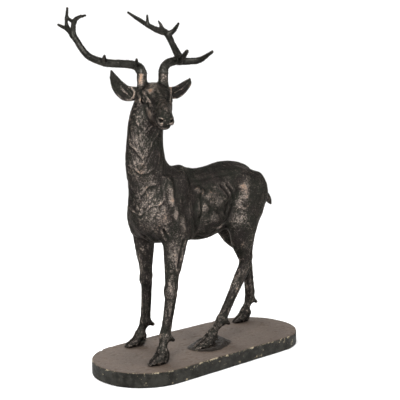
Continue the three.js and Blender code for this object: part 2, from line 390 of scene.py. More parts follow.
def fade(value, start, stop):
    """0 at start, 1 at stop, smooth in between."""
    share = np.clip((value - start) / (stop - start), 0, 1)
    return share * share * (3 - 2 * share)


def patch(points, centre, half):
    """1 at the middle of a soft oval patch, 0 outside it."""
    away = np.sqrt((((points - centre) / half) ** 2).sum(1))
    return fade(away, 1.0, 0.2)


# The stag's body

SPINE = [(-44, 0, 343, 4), (-8, 0, 341, 4), (50, 0, 352, 4.5), (104, 0, 348, 5), (136, 0, 331, 6)]
BREAST_HOLLOW = [(-150, 0, 296, 4), (-147, 0, 268, 4), (-128, 0, 236, 4)]


def trunk_forms():
    forms = [
        Ball((-40, 0, 285), (80, 42, 60), soft=20),
        Ball((-98, 3, 272), (48, 42, 50), soft=20),
        Ball((24, 0, 284), (72, 41, 57), soft=22),
        Ball((-8, 0, 262), (50, 34, 41.5), soft=18),
        Ball((42, 0, 310), (70, 34, 37), soft=22),
        Limb([(-82, 0, 332, 17), (-57, 0, 341, 13), (-24, 0, 330, 12), (15, 0, 328, 13)], soft=12),
        Ball((-57, -4, 346.5), (12, 10, 10), soft=5),
        Ball((79, 0, 308), (63, 38, 46), lean=16, soft=22),
        Limb(SPINE, soft=12),
    ]
    for side in BOTH:
        forms += [
            Ball((-88, side * 27, 296), (22, 17, 54), lean=22, soft=10),
            side_ridge([(-74, 31, 330, 5), (-92, 38, 292, 5), (-108, 40, 266, 6)], 9, side),
            Ball((-115, side * 32, 262), (25, 18, 32), soft=11),
            Ball((-76, side * 31, 257), (30, 18, 32), lean=20, soft=9),
            Ball((-62, side * 36, 240), (10, 9, 12), soft=8),
            Ball((98, side * 22, 291), (38, 20, 50), lean=20, soft=14),
            Ball((70, side * 27, 338), (15, 8, 9), soft=11),
            Ball((122, side * 22, 311), (18, 14, 26), lean=24, soft=10),
            Ball((49, side * 49, 283), (17, 9, 30), lean=24, soft=12, cut=True),
            side_groove([(-54, 48, 322, 3), (-52, 50, 285, 3), (-48, 48, 250, 3)], 10, side),
            side_groove([(-98, 38, 338, 3), (-124, 40, 300, 3), (-136, 34, 272, 3)], 10, side),
            side_groove([(136, 33, 332, 2.5), (121, 43, 292, 2.5), (110, 45, 252, 2)], 8, side),
            side_groove([(94, 43, 300, 2), (84, 46, 268, 2), (86, 46, 240, 1.6)], 7, side),
            side_ridge([(80, 36, 324, 6), (68, 39, 302, 6.5), (60, 40, 280, 5)], 11, side),
        ]
        forms += flank_forms(side) + shoulder_forms(side)
    forms.append(Limb(BREAST_HOLLOW, soft=12, cut=True))
    return forms


def shoulder_forms(side):
    """The blade's front ridge, the hollow behind it and the folds down to the foreleg."""
    return [
        side_ridge([(-110, 36, 330, 3), (-112, 40, 304, 4), (-106, 44, 276, 4.5)], 6, side),
        side_ridge([(-106, 44, 276, 4), (-98, 48, 254, 4), (-94, 50, 228, 3)], 6, side),
        Ball((-84, side * 50, 288), (8, 6, 24), lean=-12, soft=7, cut=True),
        side_groove([(-78, 50, 272, 1.6), (-88, 53, 256, 2), (-90, 54, 240, 1.4)], 4, side),
        Ball((-116, side * 43, 246), (12, 5, 14), lean=25, soft=7),
        side_groove([(-132, 36, 272, 1.6), (-124, 46, 244, 2), (-108, 50, 220, 1.4)], 5, side),
    ]


# Over the ribs: places along and up the flank, and half-sizes along and up it

DENTS = [
    (-36, 296, 8, 7),
    (-20, 276, 11, 6),
    (2, 309, 10, 6),
    (4, 272, 9, 8),
    (-44, 262, 7, 12),
    (-50, 290, 5, 8),
]
BUMPS = [
    (-14, 297, 12, 9),
    (4, 289, 9, 7),
    (-30, 281, 7, 6),
    (-6, 262, 13, 6),
    (-40, 311, 8, 6),
    (-48, 275, 5, 8),
]


def flank_forms(side):
    """Dents and folds over the ribs, and the creases under them."""
    forms = []
    for x, z, long, high in DENTS:
        forms.append(Ball((x, side * 48.6, z), (long, 5, high), lean=30, soft=8, cut=True))
    for x, z, long, high in BUMPS:
        forms.append(Ball((x, side * 39, z), (long, 5, high), lean=30, soft=9))
    folds = (
        [(14, 316, 1), (27, 304, 1.5), (32, 289, 1.6), (24, 268, 1.2)],
        [(28, 318, 0.8), (42, 302, 1.4), (46, 284, 1.4), (38, 262, 1)],
        [(-45, 238, 1), (-20, 233, 1.5), (10, 243, 1.5), (34, 254, 1)],
        [(-30, 226, 1), (-4, 223, 1.4), (22, 233, 1)],
        [(-40, 313, 0.6), (-38, 280, 0.8), (-40, 240, 0.6)],
    )
    for fold in folds:
        rows = [(x, side * fold_depth(x, z), z, thick) for x, z, thick in fold]
        forms.append(Limb(rows, soft=7, cut=True))
    return forms


def fold_depth(x, z):
    """How far out from the middle the skin of the barrel is."""
    lift = (z - 285 - 0.12 * abs(x)) / 58
    return 43 * math.sqrt(max(1 - lift * lift, 0.2))


def neck_forms():
    rows = [
        (-103, 1, 292, 50),
        (-119.5, 1, 335, 40.5),
        (-129, 1, 366, 36),
        (-130, 0, 405, 33),
        (-126.5, 0, 435, 31.5),
        (-116, 2, 462, 29),
    ]
    forms = [Limb(rows, soft=24, flatten=WIDTHWAYS, share=0.84, spans=5)]
    for side in BOTH:
        groove = [(-118, side * 29, 446, 2.5), (-116, side * 33, 400, 3), (-108, side * 38, 350, 3)]
        forms.append(Limb(groove, soft=11, cut=True))
    return forms


def tail_forms():
    rows = [
        (138, 0, 314, 10),
        (155, -1, 304, 8),
        (170, -3, 290, 7.6),
        (179, -5, 279, 6),
        (186, -6, 270, 1.8),
    ]
    return [Limb(rows, soft=8)]


# Legs, set by the places of their joints

FORE_LEGS = {
    "left": {
        "elbow": (-95, -36, 246),
        "knee": (-109, -41, 144),
        "fetlock": (-124, -42, 68),
        "toe": (-150, -48, 26),
    },
    "right": {
        "elbow": (-94, 48, 250),
        "knee": (-85.5, 54, 150),
        "fetlock": (-83, 61, 68),
        "toe": (-112, 62, 26),
    },
}
HIND_LEGS = {
    "left": {
        "hip": (108, -28, 296),
        "stifle": (70, -36, 244),
        "hock": (88, -30, 168),
        "fetlock": (27, -27, 67),
        "toe": (-33, -34, 26),
    },
    "right": {
        "hip": (112, 28, 296),
        "stifle": (98, 36, 240),
        "hock": (166, 43, 170),
        "fetlock": (186, 50, 69),
        "toe": (152, 48, 26),
    },
}
SLIM = 0.86


def joints_of(leg):
    return {name: np.array(place, float) for name, place in leg.items()}


def row(place, thick, shift=(0, 0, 0)):
    return (*(np.asarray(place, float) + shift), thick)


def between(start, stop, share):
    return start + (stop - start) * share


def foot_forms(fetlock, toe):
    """A pastern, a ragged coronet, two claws and the dewclaws behind."""
    coronet = between(fetlock, toe, 0.62) + (5, 0, 4)
    middle = between(fetlock, coronet, 0.5)
    forms = [Limb([row(fetlock, 9.6), row(middle, 7.4, (1, 0, 1)), row(coronet, 8.6)], soft=4)]
    for side in BOTH:
        front = [
            row(coronet, 6.4, (2, side * 4.2, 0)),
            row(between(coronet, toe, 0.5), 6, (0, side * 4.8, 0)),
            (toe[0] - 5, toe[1] + side * 4.4, SOLE + 4, 4.6),
            (toe[0] - 14, toe[1] + side * 2.8, SOLE + 2, 2.2),
        ]
        heel = [
            row(coronet, 6.2, (6, side * 4.2, -3)),
            (toe[0] + 17, toe[1] + side * 5.2, SOLE + 5, 5.6),
            (toe[0] + 2, toe[1] + side * 5, SOLE + 3.6, 5),
        ]
        spur = [row(fetlock, 5, (7, side * 4, -3)), row(fetlock, 3.6, (14.5, side * 4.8, -7.5))]
        forms += [Limb(front, soft=2.2), Limb(heel, soft=2), Limb(spur, soft=2.6)]
    for turn in range(9):
        angle = turn * math.tau / 9
        tuft = between(fetlock, coronet, 0.86) + (7.6 * math.cos(angle), 7.6 * math.sin(angle), 0)
        tip = coronet + (11.2 * math.cos(angle) + 1, 11.2 * math.sin(angle), -5.5 - turn % 3)
        forms.append(Limb([row(tuft, 2.2), row(tip, 1.1)], soft=1.6))
    return forms


def tendon_forms(upper, lower, back):
    """A tendon down the back of a shank, with a groove on each side of the bone."""
    forms = [Limb([row(upper, 4.4, (back, 0, -8)), row(lower, 4.6, (back - 1, 0, 10))], soft=3.5)]
    for side in BOTH:
        groove = [row(upper, 1.1, (3, side * 8.4, -14)), row(lower, 1.1, (3, side * 8, 14))]
        forms.append(Limb(groove, soft=3.5, cut=True))
    return forms


def fore_leg_forms(leg, side):
    places = joints_of(leg)
    elbow, knee, fetlock, toe = (places[name] for name in ("elbow", "knee", "fetlock", "toe"))
    shaft = [
        row(elbow, 22),
        row(between(elbow, knee, 0.4), 17.6),
        row(between(elbow, knee, 0.75), 13),
        row(knee, 11.4),
        row(between(knee, fetlock, 0.2), 9.4),
        row(between(knee, fetlock, 0.6), 8.4),
        row(fetlock, 9.8),
    ]
    muscle_end = between(elbow, knee, 0.62)
    dip = [row(elbow, 1.6, (2, side * 20, -14)), row(muscle_end, 1.2, (1, side * 12.5, 4))]
    forms = [
        Limb(shaft, soft=12, flatten=WIDTHWAYS, share=SLIM),
        Limb([row(elbow, 9, (-10, side * 9, -6)), row(muscle_end, 5, (-5, side * 7, 0))], soft=7),
        Limb([row(elbow, 9, (12, side * 8, -8)), row(muscle_end, 4.6, (7, side * 5, 0))], soft=7),
        Limb(dip, soft=5, cut=True),
        Ball(knee + (-3, 0, 0), (9.5, 10.2, 13), soft=5),
        Ball(knee + (7, 0, 5), (5, 6, 7), soft=5),
        Ball(fetlock + (4, 0, 0), (7, 8.6, 8), soft=4),
    ]
    return forms + tendon_forms(knee, fetlock, 8.5) + foot_forms(fetlock, toe)


def hind_leg_forms(leg, side):
    places = joints_of(leg)
    hip, stifle, hock, fetlock, toe = (places[name] for name in ("hip", "stifle", "hock", "fetlock", "toe"))
    thigh = [row(hip, 33), row(between(hip, stifle, 0.5), 31), row(stifle, 22.5)]
    gaskin = [
        row(stifle, 24.5),
        row(between(stifle, hock, 0.4), 21.5, (-5.5, 0, 0)),
        row(between(stifle, hock, 0.75), 14, (-4, 0, 0)),
        row(hock, 11.2),
    ]
    shank = [
        row(hock, 10.8),
        row(between(hock, fetlock, 0.25), 10.9),
        row(between(hock, fetlock, 0.65), 9.2),
        row(fetlock, 9.8),
    ]
    ham = between(stifle, hock, 0.3) + (10, 0, 6)
    calf = between(stifle, hock, 0.5) + (15, 0, 0)
    hamstring = [row(hip, 18, (-3, 0, -30)), row(ham, 18, (-2, 0, 0)), row(between(ham, hock, 0.5), 10)]
    forms = [
        Limb(thigh, soft=16, flatten=WIDTHWAYS, share=0.75),
        Limb(gaskin, soft=12, flatten=WIDTHWAYS, share=0.8),
        Limb(hamstring, soft=12),
        Limb([row(calf, 7), row(hock, 6.2, (10, 0, 10))], soft=7),
        Ball(hock + (9, 0, 9), (6, 6, 8), soft=5),
        Limb([row(calf, 2, (-6, side * 12, -8)), row(hock, 1.6, (4, side * 10, 18))], soft=6, cut=True),
        Limb(shank, soft=5, flatten=WIDTHWAYS, share=SLIM),
        Ball(fetlock + (4, 0, 0), (7, 8.6, 8), soft=4),
    ]
    return forms + tendon_forms(hock, fetlock, 10.5) + foot_forms(fetlock, toe)


# Head, modelled nose along +X with its left along +Y, then turned and set on the neck

HEAD_CENTRE = (-108, 3, 475)
HEAD_TURN = 63.0
HEAD_NOD = 20.0


def head_place():
    turn = math.radians(HEAD_TURN)
    nod = math.radians(HEAD_NOD)
    nose = np.array((-math.cos(turn) * math.cos(nod), -math.sin(turn) * math.cos(nod), -math.sin(nod)))
    cheek = unit(np.cross((0, 0, 1), nose))
    crown = np.cross(nose, cheek)
    return np.stack([nose, cheek, crown], 1), np.array(HEAD_CENTRE, float)


def skull_forms():
    """The skull, the bridge of the nose, the lower jaw and the muzzle."""
    return [
        Ball((4, 0, -2), (36, 26, 26), soft=10),
        Ball((20, 0, 9), (25, 19, 13), soft=8),
        Limb([(8, 0, -5, 22), (38, 0, -5, 19.5), (66, 0, -6, 15.6), (84, 0, -9, 14)], soft=8),
        Limb([(20, 0, 12, 9), (52, 0, 6.5, 7), (82, 0, 0.5, 6.6)], soft=6),
        Limb([(-2, 0, -25, 18), (34, 0, -24, 13), (66, 0, -21, 10), (82, 0, -20, 8.2)], soft=7),
        Ball((88, -1, -9), (11, 14, 11), soft=4),
        Ball((95, 0, -8), (5, 10.6, 8.4), soft=3),
        Ball((87, 0, -21.4), (9.6, 11, 6), soft=2),
    ]


def face_forms(side):
    """One side of the face: cheek, brow, eye and lids, tear pit, nostril, lips and jaw line."""
    return [
        Ball((10, side * 18, -17), (25, 12, 19), lean=-20, soft=9),
        side_ridge([(14, 18, 14, 3.6), (25, 21.6, 12.4, 3.2), (37, 18.6, 8, 2.6), (46, 15, 4, 2)], 4, side),
        side_ridge([(40, 16.4, -8, 4), (54, 14.4, -10, 3.6), (68, 13, -11, 3)], 6, side),
        Ball((46, side * 9, -17), (26, 8.6, 10), soft=9),
        Ball((87, side * 8, -13.6), (11, 7, 5.2), soft=3),
        Ball((30, side * 24.6, 3), (9, 3.4, 5.6), soft=2.6, cut=True),
        Ball((30, side * 20, 3), (7, 6, 5.2), soft=0.5),
        side_ridge([(21, 22.6, 4, 1.2), (29.5, 24.6, 8.8, 1.5), (39.5, 19.8, 3.4, 1.2)], 1, side),
        side_ridge([(21, 22.6, 4, 1), (30, 24.2, -2.6, 1.2), (39.5, 19.8, 3, 1)], 1, side),
        side_groove([(40, 19.6, 0, 1.6), (50, 18, -4, 1.1)], 2.2, side),
        side_ridge([(88, 12.4, -7, 1.3), (94, 11.2, -4.4, 1.4), (100, 6.4, -4.6, 1.3)], 1.6, side),
        side_ridge([(89, 12.8, -10, 1), (95, 11, -12.6, 1.2), (100, 6.4, -12.4, 1)], 1.6, side),
        Ball((97.6, side * 8.8, -8.6), (4.6, 3.2, 2.8), soft=1.2, cut=True),
        side_groove([(99, 1, -17.6, 0.8), (93, 9.4, -18, 0.9), (82, 13, -17.4, 0.9)], 1, side),
        side_groove([(82, 13, -17.4, 0.8), (72, 13.4, -16.6, 0.5)], 1, side),
        side_groove([(6, 25, -31, 2), (30, 20, -30, 1.6), (46, 17, -29, 1)], 6, side),
        side_groove([(44, 12, 4, 1.2), (60, 10, 2, 1.4), (76, 9, -0.5, 1.2)], 4, side),
    ]


def head_forms():
    forms = skull_forms()
    for side in BOTH:
        forms += face_forms(side)
    forms.append(Limb([(100.5, 0, -8, 0.6), (99, 0, -16, 0.8)], soft=1.4, cut=True))
    turn, shift = head_place()
    return [form.moved(turn, shift) for form in forms]


EARS = {
    "right": [
        (-121, 24, 482, 10),
        (-137, 39, 480, 13.4),
        (-147, 49, 491, 11.6),
        (-153, 54, 505, 7.6),
        (-156, 58, 519, 1.6),
    ],
    "left": [
        (-84, 1, 484, 8),
        (-66, -3, 482, 11),
        (-53, -7, 489, 10),
        (-41, -9, 499, 7),
        (-35, -9, 507, 1.8),
    ],
}
EAR_FACING = unit((-0.69, -0.73, 0.05))
EAR_THIN = 0.46


def ear_forms():
    forms = []
    for rows in EARS.values():
        leaf = np.array(rows)
        forms.append(Limb(leaf, soft=4, flatten=EAR_FACING, share=EAR_THIN))
        bowl = leaf[1:].copy()
        bowl[:, :3] += EAR_FACING * (leaf[1:, 3:] * 0.36 + 0.6)
        bowl[:, 3] *= 0.84
        forms.append(Limb(bowl, soft=1.6, flatten=EAR_FACING, share=EAR_THIN, cut=True))
        ridge = leaf[1:].copy()
        ridge[:, :3] += EAR_FACING * 0.6
        ridge[:, 3] = (1.6, 1.6, 1.2, 0.5)
        forms.append(Limb(ridge, soft=3))
    return forms


# Antlers and the pedicles they stand on

ANTLER_FEET = {"right": (-126, 12), "left": (-94, -6)}


def pedicle_forms():
    forms = []
    for x, y in ANTLER_FEET.values():
        rows = [(x + 1, y - 1, SEAM - 32, 10.5), (x, y, SEAM - 14, 8.6), (x, y, SEAM + 8, 8.7)]
        forms.append(Limb(rows, soft=6))
    return forms


def antler_beams():
    right = [
        (-126, 10, 500, 8.8),
        (-126, 12, 513, 8.6),
        (-128, 18, 524, 7.8),
        (-134, 32, 529, 7.2),
        (-142, 51, 531, 7),
        (-156, 78, 534, 6.8),
        (-169, 109, 547, 5.8),
        (-177, 130, 574, 5.6),
        (-179, 137, 583, 5.4),
    ]
    left = [
        (-96, -7, 500, 8.8),
        (-94, -6, 513, 8.6),
        (-90, -4, 524, 8),
        (-81, -3, 532, 7.6),
        (-65, -3, 537, 7.4),
        (-53, 0, 543, 7.2),
        (-46, 24, 568, 5.6),
        (-42, 44, 589, 6),
        (-44, 60, 594, 5.6),
        (-50, 82, 604, 4.8),
        (-55, 103, 616, 3.8),
        (-63, 128, 632, 2.4),
    ]
    return {"right": right, "left": left}


def antler_tines():
    right = [
        [(-130, 17, 519, 5), (-138, 11, 527, 3.8), (-148, -1, 535, 2.2)],
        [(-157, 76, 534, 5), (-166, 64, 539, 3.6), (-176, 50, 542, 2.4)],
        [(-179, 137, 583, 5), (-181, 151, 594, 4.2), (-184, 175, 604, 2.4)],
        [(-179, 137, 583, 4.6), (-180, 133, 604, 4.2), (-179, 121, 612, 3.4), (-177, 103, 614, 2)],
        [(-180, 142, 589, 3.2), (-181, 154, 603, 3), (-183, 150, 615, 3), (-187, 142, 629, 2)],
        [(-179, 133, 605, 3.8), (-182, 149, 613, 2.8)],
    ]
    left = [
        [(-56, -4, 536, 6), (-63, -22, 542, 4.6), (-74, -44, 550, 3.4)],
        [(-54, 1, 537, 6.6), (-40, -13, 537, 6), (-30, -30, 539, 5.2), (-29, -59, 551, 2.6)],
        [(-42, 39, 588, 5), (-38, 30, 593, 4.2), (-40, 15, 604, 2.2)],
        [(-43, 53, 595, 4), (-43, 59, 604, 3), (-45, 63, 612, 1.7)],
        [(-52, 86, 608, 3.4), (-53, 85, 616, 2.6), (-56, 82, 623, 1.7)],
    ]
    return {"right": right, "left": left}


def antler_forms(side):
    forms = [Limb(antler_beams()[side], soft=3)]
    for rows in antler_tines()[side]:
        forms.append(Limb(rows, soft=3.5))
    return forms


# Relief: hair, hammering and casting grain, as heights along the surface normal

THROAT_TOP = 452.0
BREAST = 262.0
TUFT_STEP = 34.0
TUFT_SLANT = 30.0
TUFT_HEIGHT = 2.3


def around_neck(points):
    """The angle from the middle of the throat, which turns to the left on its way up."""
    rise = np.clip((points[:, 2] - 290) / 160, 0, 1)
    facing = np.radians(12 + 46 * rise)
    centre_x = np.interp(points[:, 2], (262, 300, 340, 405, 450), (-92, -104, -119, -130, -122))
    angle = np.arctan2(-points[:, 1], -(points[:, 0] - centre_x))
    return np.mod(angle - facing + math.pi, 2 * math.pi) - math.pi


def on_neck(points):
    side = np.abs(around_neck(points))
    height = fade(points[:, 2], BREAST - 34, BREAST + 16) * fade(points[:, 2], THROAT_TOP, THROAT_TOP - 22)
    return height * fade(side, 1.75, 0.7) * fade(points[:, 0], -48, -92)


def streaks(points, across, along, seed):
    """Short strokes of hair: along the back and neck, and down the legs."""
    down = fade(points[:, 2], 236, 196)
    upright = fade(points[:, 0], -84, -104) * fade(points[:, 2], 250, 290)
    vertical = np.maximum(down, upright)
    lying = noise(points / (along, across, across), 1, seed)
    standing = noise(points / (across, across, along), 1, seed + 1)
    return lying * (1 - vertical) + standing * vertical


def near_head(points):
    away = np.linalg.norm((points - HEAD_CENTRE) / (74, 92, 60), axis=1)
    return fade(away, 1.1, 0.8) * fade(points[:, 2], 405, 440)


def tufts(points):
    """Overlapping layers of hair in rows that dip to the middle of the throat."""
    side = around_neck(points)
    warp = 8 * noise(points, 30, 11) + 4 * noise(points, 11, 12)
    phase = (points[:, 2] - TUFT_SLANT * np.abs(side) + warp) / TUFT_STEP
    share = phase - np.floor(phase)
    layer = (1 - share) ** 1.6 * fade(share, 0.0, 0.14)
    lock = 0.7 + 0.3 * np.cos(side * 6 + np.floor(phase) * 1.9 + 1.5 * noise(points, 18, 13))
    return (layer - 0.35) * lock * fade(np.abs(side), 1.5, 0.45)


def strands(points):
    """Long strands that run down and in towards the throat."""
    side = around_neck(points)
    across = np.abs(side) * 36 - points[:, 2] * 0.5
    lying = np.stack([across / 3.4, points[:, 2] / 26, np.sign(side) * 9], 1)
    finer = np.stack([across / 1.9, points[:, 2] / 16, np.sign(side) * 9], 1)
    return noise(lying, 1, 31) + 0.5 * noise(finer, 1, 33)


def stag_relief(points, hair, grain):
    head = near_head(points)
    neck = on_neck(points) * (1 - head)
    hoof = fade(points[:, 2], SOLE + 26, SOLE + 16)
    legs = fade(points[:, 2], 225, 190)
    height = TUFT_HEIGHT * hair * neck * tufts(points)
    height += hair * neck * 0.4 * strands(points)
    body = (1 - neck) * (1 - head) * (1 - hoof)
    height += hair * body * (0.16 + 0.1 * legs) * streaks(points, 2.6, 12, 21)
    barrel = (1 - legs) * (1 - neck) * (1 - head)
    height += barrel * (0.5 * noise(points, 13, 41) + 0.55 * noise(points, 27, 42)) * hair
    height += hoof * (0.7 * noise(points, 5, 43) + 0.4 * noise(points, 2.6, 44)) * grain
    height += back_crease(points) + mould_seam(points) + 0.55 * hair * on_ears(points)[1]
    uneven = 0.5 + np.maximum(noise(points, 22, 53), 0)
    rough = 0.2 * noise(points, 2.4, 51) + 0.42 * noise(points, 4.4, 52) * uneven
    return height + grain * rough


def back_crease(points):
    """A shallow crease along the top of the ribs with a soft fold above it."""
    rise = points[:, 2] - 334.5 - 0.1 * points[:, 0]
    reach = fade(np.abs(points[:, 0]), 52, 28)
    return reach * (0.7 * fade(np.abs(rise - 4), 5, 0) - 0.7 * fade(np.abs(rise + 2), 4, 0))


def mould_seam(points):
    """The line where the halves of the mould met, down each side behind the shoulder."""
    away = points[:, 0] + 67 + 1.2 * noise(points, 30, 45)
    reach = fade(points[:, 2], 228, 240) * fade(points[:, 2], 342, 330) * fade(np.abs(points[:, 1]), 14, 24)
    return reach * (0.25 * fade(np.abs(away + 2.6), 2.6, 0) - 0.5 * fade(np.abs(away), 2, 0))


def on_ears(points):
    """How much of an ear each point is, and the strands of hair that run along it."""
    ears = np.zeros(len(points))
    hair = np.zeros(len(points))
    for rows in EARS.values():
        path = smooth_path(rows, 3)
        away = np.min([np.linalg.norm(points - place, axis=1) - thick for *place, thick in path[4:]], 0)
        run = unit(path[-1, :3] - path[3, :3])
        across = points - (points @ run)[:, None] * run * 0.88
        here = fade(away, 3, 0)
        ears = np.maximum(ears, here)
        hair += here * noise(across, 2.5, 46)
    return ears, hair


def near_path(points, path):
    """For each point, the place on a path that it is nearest to and the path's direction there."""
    starts = path[:-1, :3]
    spans = path[1:, :3] - starts
    best = np.full(len(points), FAR)
    along = np.zeros((len(points), 3))
    for start, span in zip(starts, spans):
        share = np.clip((points - start) @ span / (span @ span), 0, 1)
        away = np.linalg.norm(points - start - share[:, None] * span, axis=1)
        closer = away < best
        best[closer] = away[closer]
        along[closer] = unit(span)
    return along


def antler_relief(points, side, grain):
    """Ridges that run along the beam, over a fine casting grain."""
    path = smooth_path(antler_beams()[side], 4)
    along = near_path(points, path)
    across = points - (points * along).sum(1)[:, None] * along * 0.9
    height = 0.42 * noise(across, 3.1, 61) + 0.2 * noise(across, 1.7, 62)
    return grain * (height + 0.14 * noise(points, 2.4, 63))


def plinth_relief(points, grain):
    top = fade(points[:, 2], DECK - 4, DECK - 1)
    height = 0.35 * noise(points, 34, 71) + 0.16 * noise(points, 9, 72) + 0.1 * noise(points, 3, 73)
    edge = fade(np.abs(points[:, 2] - DECK + 1.2), 3.4, 0.6)
    chips = fade(noise(points, 6, 74), 0.34, 0.72)
    height -= edge * 1.3 * chips
    side = (1 - top) * fade(points[:, 2], 0.5, 2.5)
    height += side * 0.35 * noise(points / (1, 1, 2.2), 6, 75)
    pad = fade(points[:, 2], DECK + 0.6, DECK + 2.5)
    height += pad * (2 * noise(points, 9, 76) + 1.1 * noise(points, 4.5, 77))
    return grain * height


# Wear and painted highlight: high and exposed spots are rubbed bright, and listed patches on the lit near
# side get painted highlight

# Patches brightened in the rub mask: partly real rubbed bronze, partly painted highlight and sheen where
# the key light falls on the near side, the eye and the face
RUB_AND_HIGHLIGHT_SPOTS = [
    ((-150, -30, 300), (28, 28, 60), 0.42),
    ((-158, -20, 372), (26, 24, 60), 0.42),
    ((-142, -36, 430), (20, 20, 22), 0.42),
    ((-130, -44, 285), (18, 16, 34), 0.45),
    ((-112, -44, 304), (7, 14, 24), 0.85),
    ((-106, -48, 276), (7, 14, 16), 0.75),
    ((-92, -50, 254), (8, 14, 24), 0.8),
    ((-106, -50, 215), (20, 14, 26), 0.36),
    ((-116, -52, 150), (8, 12, 50), 0.3),
    ((-104, 50, 160), (8, 12, 60), 0.25),
    ((67, -44, 304), (13, 16, 24), 0.78),
    ((60, -46, 280), (14, 16, 18), 0.5),
    ((55, -46, 252), (18, 16, 26), 0.36),
    ((82, -46, 226), (18, 16, 26), 0.25),
    ((-10, -44, 296), (34, 16, 20), 0.34),
    ((-30, -44, 280), (16, 16, 14), 0.3),
    ((-8, -44, 262), (30, 16, 12), 0.25),
    ((-66, -48, 286), (7, 16, 14), 0.35),
    ((-124, -44, 68), (12, 14, 12), 0.35),
    ((60, -30, 120), (16, 14, 30), 0.2),
    ((-133, 6, 500), (4, 9, 18), 0.75),
    ((-98, -12, 500), (6, 8, 16), 0.12),
    ((-144, -80, 456), (12, 14, 7), 0.45),
    ((-132, -18, 482), (12, 9, 9), 0.5),
]


SPOT_REACH = 1.25
NEAR_ROUNDS = 4
WIDE_ROUNDS = 22
EVEN_ROUNDS = 60


def rubbed(points, faces, normals, gain):
    """How bright each point is rubbed, from how far it stands out, plus listed patches that are partly
    rubbed tan and partly painted highlight where the key light falls.
    """
    near = relax(points, faces, NEAR_ROUNDS)
    wide = relax(near, faces, WIDE_ROUNDS)
    fine = ((points - near) * normals).sum(1)
    ridge = ((near - wide) * normals).sum(1)
    ridge -= relax(ridge[:, None], faces, EVEN_ROUNDS)[:, 0]
    spots = np.zeros(len(points))
    # Painted highlight patches, added on top of the rubbing
    for centre, half, strength in RUB_AND_HIGHLIGHT_SPOTS:
        spots = np.maximum(spots, strength * patch(points, np.array(centre), np.array(half) * SPOT_REACH))
    spots *= 0.8 + 0.6 * noise(points, 7, 91)
    clotted = 0.12 * noise(points, 16, 92) + 0.12 * noise(points, 4, 93)
    return np.clip(gain * (0.9 * fine + 0.62 * ridge + clotted) + spots, -1, 1)


def calmed(points, rub_and_highlight):
    """More rubbing on the face, painted highlight streaks down the legs, and less rubbing on the hooves and
    ears.
    """
    ears, hair = on_ears(points)
    low = fade(points[:, 2], SOLE + 30, SOLE + 14)
    legs = fade(points[:, 2], 240, 205) * (1 - low)
    # Vertical painted highlight streaks down the legs
    highlight_streak = fade(noise(points / (2.2, 2.2, 26), 1, 94), 0.1, 0.8)
    highlight_streak += 0.5 * np.maximum(noise(points, 5, 95), 0)
    head = near_head(points) * (1 - ears)
    rub_and_highlight = rub_and_highlight * (1 - 0.5 * ears) * (1 - 0.3 * low) * (1 + 0.6 * head) + 0.12 * head - 0.06 * legs
    rub_and_highlight += 0.4 * low * np.maximum(noise(points, 3.6, 96), 0)
    return rub_and_highlight + 0.6 * np.maximum(hair, 0) - 0.1 * ears + 0.42 * legs * highlight_streak


# Meshes


def finished_mesh(name, points, faces, target, masks, keep=None):
    """A smooth-shaded mesh in metres with about target triangles and its masks as attributes."""
    rough = bpy.data.meshes.new(name)
    rough.from_pydata((points * MM).tolist(), [], faces.tolist())
    piece = bpy.data.objects.new(name, rough)
    bpy.context.scene.collection.objects.link(piece)
    share = target / (2 * len(faces))
    if share < 1:
        thin = piece.modifiers.new("thin", "DECIMATE")
        thin.ratio = share
        if keep is not None:
            group = piece.vertex_groups.new(name="coarse")
            group.add(np.flatnonzero(~keep).tolist(), 1.0, "REPLACE")
            thin.vertex_group = group.name
            thin.vertex_group_factor = 1.0
        shaped = piece.evaluated_get(bpy.context.evaluated_depsgraph_get())
        mesh = bpy.data.meshes.new_from_object(shaped)
        piece.modifiers.clear()
        piece.vertex_groups.clear()
        piece.data = mesh
        bpy.data.meshes.remove(rough)
        mesh.name = name
    mesh = piece.data
    tree = kdtree.KDTree(len(points))
    for index, point in enumerate((points * MM).tolist()):
        tree.insert(point, index)
    tree.balance()
    nearest = [tree.find(vertex.co)[1] for vertex in mesh.vertices]
    for mask, values in masks.items():
        attribute = mesh.attributes.new(mask, "FLOAT", "POINT")
        attribute.data.foreach_set("value", values[nearest].astype(np.float32))
    mesh.polygons.foreach_set("use_smooth", [True] * len(mesh.polygons))
    mesh.update()
    return piece


def shape(forms, voxel):
    field, low = sample_field(forms, voxel)
    points, faces = lay_net(field, low, voxel)
    return relax(points, faces, 1), faces


def fit_pace(voxel):
    """The net spacing to use; a factor above 1 would give a coarser net while the rest of the scene is
    being worked on, and here the factor is 1.
    """
    return voxel * 1.0


# Materials


